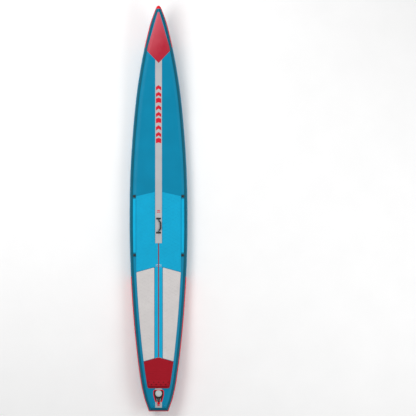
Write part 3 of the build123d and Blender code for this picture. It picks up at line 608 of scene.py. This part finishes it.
def chevron(d, reach, lean, thick):
    """A V that points to the nose: its rear apex is at d."""
    return [
        at(d, 0), at(d - lean, reach), at(d - lean + thick, reach), at(d + thick, 0),
        at(d - lean + thick, -reach), at(d - lean, -reach),
    ]


def disc(d, y, radius, count=28):
    """A round outline in plan."""
    turns = [2 * math.pi * k / count for k in range(count)]
    return [at(d + radius * math.cos(t), y + radius * math.sin(t)) for t in turns]


def pill(d_low, d_high, half, count=14):
    """A round-ended outline along the board."""
    turns = [math.pi * (k / count - 0.5) for k in range(count + 1)]
    front = [at(d_high - half + half * math.cos(t), half * math.sin(t)) for t in turns]
    rear = [at(d_low + half - half * math.cos(t), -half * math.sin(t)) for t in turns]
    return front + rear


# distances from the tail and sizes of the prints and of the painted shade discs in the kick bar's holes,
# in millimetres
CHEVRON_FIRST, CHEVRON_PITCH, CHEVRON_COUNT, CHEVRON_REACH = 2833, 70.4, 9, 28
TICKS, TICK_REACH = (2094, 2110), 17
PILL_REAR, PILL_FRONT, PILL_HALF = 644, 806, 32
DOTS = ((777, 10), (740, 7), (705, 10), (672, 10))
EMBLEM, EMBLEM_R, EMBLEM_SLOPE = (3022, 151), 112, -0.16
WAVE_LIFTS = (-48, -18, 12)
KICK_HOLE_ROWS, KICK_HOLE_R = ((278.3, (-75, -25, 25, 75)), (306.3, (-100, -50, 0, 50, 100))), 5.2

for k in range(CHEVRON_COUNT):
    d = CHEVRON_FIRST + k * CHEVRON_PITCH
    bold = chevron(d - 4, CHEVRON_REACH, 8, 48)
    shape = chevron(d, CHEVRON_REACH, 20, 36) if k % 3 else bold
    film(f"deck_chevron_{k + 1}", shape, print_red, step=0.01)
for k, d in enumerate(TICKS):
    film(f"deck_tick_{k + 1}", chevron(d, TICK_REACH, 5, 8), print_red, step=0.01)

pad_tree = surface_tree("front_pad_port", "front_pad_starboard")
patch_tree = surface_tree("valve_patch")
for side, sign in (("port", 1), ("starboard", -1)):
    arm = [at(1541, 7 * sign), at(1535, 30 * sign), at(1540, 30 * sign), at(1546, 7 * sign)]
    film(f"pad_arrow_{side}", arm, print_grey, step=0.01, on=pad_tree)
    mark = [at(124, 15 * sign), at(124, 20 * sign), at(133, 23 * sign), at(133, 18 * sign)]
    film(f"valve_mark_{side}", mark, print_grey, step=0.01, on=patch_tree)

film("bottom_pill", pill(PILL_REAR, PILL_FRONT, PILL_HALF), print_pill, up=-1, step=0.01)
for k, (d, radius) in enumerate(DOTS):
    film(
        f"bottom_dot_{k + 1}", disc(d, 0, radius), print_white,
        up=-1, raise_by=PRINT_OVER_PRINT,
    )


def emblem_outline(middle, radius, slope, count=40):
    """A disc with its outer side cut straight, in line with the board's outline."""
    d, y = middle
    start = math.radians(58)
    turns = [start + (2 * math.pi - 2 * start) * k / count for k in range(count + 1)]
    points = []
    for turn in turns:
        along, out = radius * math.sin(turn), radius * math.cos(turn)
        points.append(at(d + along, y + out + slope * along))
    return points


def wave_band(d, y, run, rise, thick, slope):
    """A band with two crests, across the emblem."""
    steps = 36
    upper, lower = [], []
    for k in range(steps + 1):
        u = k / steps
        swell = rise * math.sin(4 * math.pi * u)
        half = thick / 2 * math.sin(math.pi * min(0.97, max(0.03, u))) ** 0.5
        place = d + run * (u - 0.5)
        upper.append(at(place, y + swell + half + slope * (place - d)))
        lower.append(at(place, y + swell - half + slope * (place - d)))
    return upper + lower[::-1]


emblem = emblem_outline(EMBLEM, EMBLEM_R, EMBLEM_SLOPE)
film("bottom_emblem", emblem, print_teal, up=-1, step=0.006)
for k, lift_y in enumerate(WAVE_LIFTS):
    band = wave_band(EMBLEM[0], EMBLEM[1] + lift_y, 120 - 12 * k, 7, 9, EMBLEM_SLOPE)
    film(
        f"bottom_wave_{k + 1}", band, print_line,
        up=-1, step=0.006, raise_by=PRINT_OVER_PRINT,
    )


# ---- softened copies of webbing and foam parts
def softened(name, node, width, segments, material, body="root", cuts=0):
    """A new piece in a frame part's shape, with its hard edges rounded."""
    bm = bmesh.new()
    bm.from_mesh(nodes[node].data)
    bmesh.ops.remove_doubles(bm, verts=bm.verts, dist=WELD)
    bmesh.ops.dissolve_limit(bm, angle_limit=0.01, verts=bm.verts, edges=bm.edges)
    hard = [e for e in bm.edges if len(e.link_faces) == 2 and e.calc_face_angle() > 0.6]
    bmesh.ops.bevel(
        bm, geom=hard, offset=width, segments=segments, profile=0.5, affect="EDGES", clamp_overlap=True,
    )
    if cuts:
        bmesh.ops.subdivide_edges(bm, edges=bm.edges, cuts=cuts, use_grid_fill=True)
    bmesh.ops.triangulate(bm, faces=[f for f in bm.faces if len(f.verts) > 4])
    vertices = [v.co.copy() for v in bm.verts]
    bm.verts.index_update()
    faces = [[v.index for v in f.verts] for f in bm.faces]
    bm.free()
    piece = new_piece(name, vertices, faces, material, body, smooth=40)
    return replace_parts(piece, node)


STITCH_WIDE, STITCH_HIGH = 0.0009, 0.0008
STITCH_PROUD = 0.0002


def bead(middle, way, up, long, wide, high):
    """Vertices and faces of one stitch: a short thread that dives at both ends."""
    side = way.cross(up).normalized()
    up = side.cross(way).normalized()
    vertices, faces = [], []
    for share, size in ((-0.5, 0.25), (-0.25, 0.9), (0.25, 0.9), (0.5, 0.25)):
        for k in range(6):
            turn = math.pi * k / 3
            vertices.append(
                middle + way * (share * long) + side * (wide / 2 * size * math.cos(turn))
                + up * (high / 2 * size * math.sin(turn) - (1 - size) * high * 0.4)
            )
    for ring in range(3):
        for k in range(6):
            a, b = ring * 6 + k, ring * 6 + (k + 1) % 6
            faces.append([a, b, b + 6, a + 6])
    faces.append([5, 4, 3, 2, 1, 0])
    faces.append([18, 19, 20, 21, 22, 23])
    return vertices, faces


def stitching(name, rows, material, body="root", long=0.0034, pitch=0.0045):
    """Rows of stitches as one piece. A row is (start, end, up)."""
    vertices, faces = [], []
    for start, end, up in rows:
        run = end - start
        count = max(1, round(run.length / pitch))
        for k in range(count):
            middle = start + run * ((k + 0.5) / count)
            new, new_faces = bead(middle, run.normalized(), up, long, STITCH_WIDE, STITCH_HIGH)
            faces += [[len(vertices) + i for i in face] for face in new_faces]
            vertices += new
    return new_piece(name, vertices, faces, material, body, smooth=60)


# ---- tie loops
for place in ("rear", "front"):
    for side, sign in (("port", 1), ("starboard", -1)):
        name = f"tie_loop_{place}_{side}"
        low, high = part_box(name)
        softened(f"{name}_webbing", name, 0.0005, 2, materials["webbing_black"])
        tree = surface_tree(name)
        rows = []
        reach = high.y - low.y
        for share in (0.05, 0.1, 0.9, 0.95):
            y = low.y + share * reach
            ends = []
            for x in (low.x + 0.003, high.x - 0.003):
                place_on, normal, *_ = tree.ray_cast(Vector((x, y, SKY)), Vector((0, 0, -1)))
                ends.append(place_on + normal * STITCH_PROUD)
            rows.append((*ends, normal))
        stitching(f"{name}_stitches", rows, thread_dark)

# ---- carry handle: a soft grip on a webbing strap
strap_tree = surface_tree("handle_strap")
strap_low, strap_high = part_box("handle_strap")
grip_low, grip_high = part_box("handle_grip")
axis_z = (grip_low.z + grip_high.z) / 2


def strap_middle(x):
    """Centre of the strap's path at a place along the board."""
    rays = [
        strap_tree.ray_cast(Vector((x, sign * 0.2, axis_z)), Vector((0, -sign, 0)))[0] for sign in (1, -1)
    ]
    return Vector((x, (rays[0].y + rays[1].y) / 2, axis_z))


def tube(name, places, sections, material, body):
    """A closed tube along places; sections gives (side, up) radii and turns them round each place."""
    sides = 28
    vertices, faces = [], []
    for k, middle in enumerate(places):
        ahead = places[min(k + 1, len(places) - 1)] - places[max(k - 1, 0)]
        way = ahead.normalized()
        side = way.cross(Vector((0, 0, 1))).normalized()
        for m in range(sides):
            turn = 2 * math.pi * m / sides
            out, rise = sections(k, turn)
            vertices.append(middle + side * out + Vector((0, 0, rise)))
    for k in range(len(places) - 1):
        for m in range(sides):
            a, b = k * sides + m, k * sides + (m + 1) % sides
            faces.append([a, b, b + sides, a + sides])
    faces.append(list(range(sides))[::-1])
    faces.append([(len(places) - 1) * sides + m for m in range(sides)])
    return new_piece(name, vertices, faces, material, body, smooth=50)


STRAP_STEPS = 90
strap_ends = (strap_low.x + 0.0002, strap_high.x - 0.0002)
strap_places = [
    strap_middle(strap_ends[0] + (strap_ends[1] - strap_ends[0]) * k / STRAP_STEPS)
    for k in range(STRAP_STEPS + 1)
]
STRAP_R = 0.0039


def strap_section(k, turn):
    """Folded webbing: a rounded square."""
    c, s = math.cos(turn), math.sin(turn)
    fold = (abs(c) ** 3 + abs(s) ** 3) ** (-1 / 3)
    return STRAP_R * min(fold, 1.04) * c, STRAP_R * min(fold, 1.04) * s


strap = tube(
    "handle_strap_webbing", strap_places, strap_section,
    materials["webbing_teal"], "handle",
)
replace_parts(strap, "handle_strap")
GRIP_STEPS = 96
grip_places = [
    strap_middle(grip_low.x + (grip_high.x - grip_low.x) * k / GRIP_STEPS) for k in range(GRIP_STEPS + 1)
]
GRIP_R = (grip_high.z - grip_low.z) / 2


def grip_section(k, turn):
    """A soft sleeve: rolled ends, finger swells, a neck near each end and a groove underneath."""
    u = k / GRIP_STEPS
    end = min(u, 1 - u) * (grip_high.x - grip_low.x)
    roll = math.sqrt(max(0.0, 1 - max(0.0, 1 - end / 0.004) ** 2))
    swell = 0.96 + 0.04 * math.cos(8 * math.pi * (u - 0.5))
    neck = 0.86 if 0.008 < end < 0.0105 else 1.0
    seam = 1 - 0.06 * math.exp(-((turn - 1.5 * math.pi) / 0.12) ** 2)
    radius = GRIP_R * (0.5 + 0.5 * roll) * swell * neck * seam
    return radius * math.cos(turn), radius * math.sin(turn)


grip = tube("handle_grip_sleeve", grip_places, grip_section, materials["neoprene"], "handle")
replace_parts(grip, "handle_grip")
SEAM_END, SEAM_STRIDE, SEAM_OUT = 14, 4, 0.0022
stitch_rows = []
for k in range(SEAM_END, GRIP_STEPS - SEAM_END, SEAM_STRIDE):
    a, b = grip_places[k], grip_places[k + SEAM_STRIDE]
    for out in (-SEAM_OUT, SEAM_OUT):
        drop = Vector((0, out, math.sqrt(GRIP_R ** 2 - out ** 2) * 0.975))
        stitch_rows.append((a + drop, b + drop, Vector((0, 0, 1))))
stitching("handle_grip_stitches", stitch_rows, thread_dark, "handle", 0.003, 0.004)

# ---- valve spring: a fixed coil of wire on the root body; the real spring shortens as the plunger goes down
spring_low, spring_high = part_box("valve_spring")
spring_centre = (spring_low + spring_high) / 2
WIRE_R, SPRING_TURNS, SPRING_STEPS = 0.0005, 6, 156
coil_r = (spring_high.y - spring_low.y) / 2 - WIRE_R
coil_low, coil_high = spring_low.z + WIRE_R, spring_high.z - WIRE_R
coil = []
for k in range(SPRING_STEPS + 1):
    turn = 2 * math.pi * SPRING_TURNS * k / SPRING_STEPS
    rise = coil_low + (coil_high - coil_low) * k / SPRING_STEPS
    coil.append(Vector((
        spring_centre.x + coil_r * math.cos(turn), spring_centre.y + coil_r * math.sin(turn), rise,
    )))
spring = tube(
    "valve_spring_coil", coil, lambda k, turn: (WIRE_R * math.cos(turn), WIRE_R * math.sin(turn)),
    materials["steel"], "root",
)
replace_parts(spring, "valve_spring")
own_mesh(spring)

# ---- leash tab
softened("leash_tab_webbing", "leash_tab", 0.0004, 2, materials["webbing_black"])
tab_low, tab_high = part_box("leash_tab")
tab_tree = surface_tree("leash_tab")
tab_rows = []
for share in (0.45, 0.6, 0.75, 0.9):
    x = tab_low.x + share * (tab_high.x - tab_low.x)
    ends = [
        tab_tree.ray_cast(Vector((x, y, SKY)), Vector((0, 0, -1)))[0] + Vector((0, 0, STITCH_PROUD))
        for y in (tab_low.y + 0.002, tab_high.y - 0.002)
    ]
    tab_rows.append((*ends, Vector((0, 0, 1))))
stitching("leash_tab_stitches", tab_rows, thread)

# ---- kick bar: a firm foam wedge, with painted shade as dark foam discs on the floors of its blind holes
kick = softened("kick_bar_foam", "kick_bar", 0.0022, 3, materials["eva_red"])

kick_tree = surface_tree("kick_bar")
for row, (d, places) in enumerate(KICK_HOLE_ROWS):
    for k, y in enumerate(places):
        # a dark disc on each hole's floor: painted shade
        hole = disc(d, y, KICK_HOLE_R)
        film(f"kick_hole_{row + 1}_{k + 1}", hole, hole_painted_shade, on=kick_tree)

# ---- rounded edges on moulded hardware
for name, width in (
    ("valve_body", 0.0005), ("valve_cap", 0.0004), ("fin_box", 0.0006), ("fin_box_base", 0.0006),
    ("handle_anchor_rear", 0.0006), ("handle_anchor_front", 0.0006), ("tail_release_edge", 0.0008),
):
    weld = nodes[name].modifiers.new("weld", "WELD")
    weld.merge_threshold = WELD
    bevel = nodes[name].modifiers.new("bevel", "BEVEL")
    bevel.width = width
    bevel.segments = 2
    bevel.limit_method = "ANGLE"
    bevel.angle_limit = math.radians(40)

# ---- floor, light and camera
FLOOR_SIZE, FLOOR_GAP = 40, 0.002
VIEW_SIZE, VIEW_MIDDLE, VIEW_HEIGHT = 4.376, (0.0047, -0.520), 4.0
WORLD_LIGHT = 0.42
bpy.ops.mesh.primitive_plane_add(size=FLOOR_SIZE, location=(0, 0, -FLOOR_GAP))
floor = bpy.context.object
floor.name = "floor"
paper = Nodes("paper")
paper_tones = [(0.3, (0.97, 0.97, 0.97, 1)), (0.7, (0.99, 0.99, 0.99, 1))]
paper.colour(paper.ramp(paper.noise(3, 2.0), paper_tones))
paper.shader.inputs["Roughness"].default_value = 0.9
floor.data.materials.append(paper.material)


def softbox(name, place, aim, size, power):
    """A large rectangular area light."""
    light = bpy.data.lights.new(name, "AREA")
    light.shape = "RECTANGLE"
    light.size, light.size_y = size
    light.energy = power
    lamp = bpy.data.objects.new(name, light)
    bpy.context.collection.objects.link(lamp)
    lamp.location = place
    lamp.rotation_mode = "QUATERNION"
    lamp.rotation_quaternion = (Vector(aim) - Vector(place)).to_track_quat("-Z", "Y")
    return lamp


lamps = [
    softbox("key", (1.5, 3.0, 5.0), (0, 0, 0.1), (5.0, 2.5), 170),
    softbox("fill", (-1.0, -4.0, 4.0), (0, 0, 0.1), (5.0, 2.5), 105),
    softbox("nose_light", (5.0, 0.5, 3.0), (0.8, 0, 0.1), (2.5, 2.5), 50),
]
world = bpy.data.worlds.new("studio")
world.use_nodes = True
world.node_tree.nodes["Background"].inputs["Color"].default_value = (1, 1, 1, 1)
world.node_tree.nodes["Background"].inputs["Strength"].default_value = WORLD_LIGHT
bpy.context.scene.world = world
bpy.context.scene.view_settings.view_transform = "Standard"

camera = bpy.data.cameras.new("camera")
camera.type = "ORTHO"
camera.ortho_scale = VIEW_SIZE
camera_object = bpy.data.objects.new("camera", camera)
bpy.context.collection.objects.link(camera_object)
camera_object.location = (*VIEW_MIDDLE, VIEW_HEIGHT)
camera_object.rotation_euler = (0, 0, -math.pi / 2)
bpy.context.scene.camera = camera_object
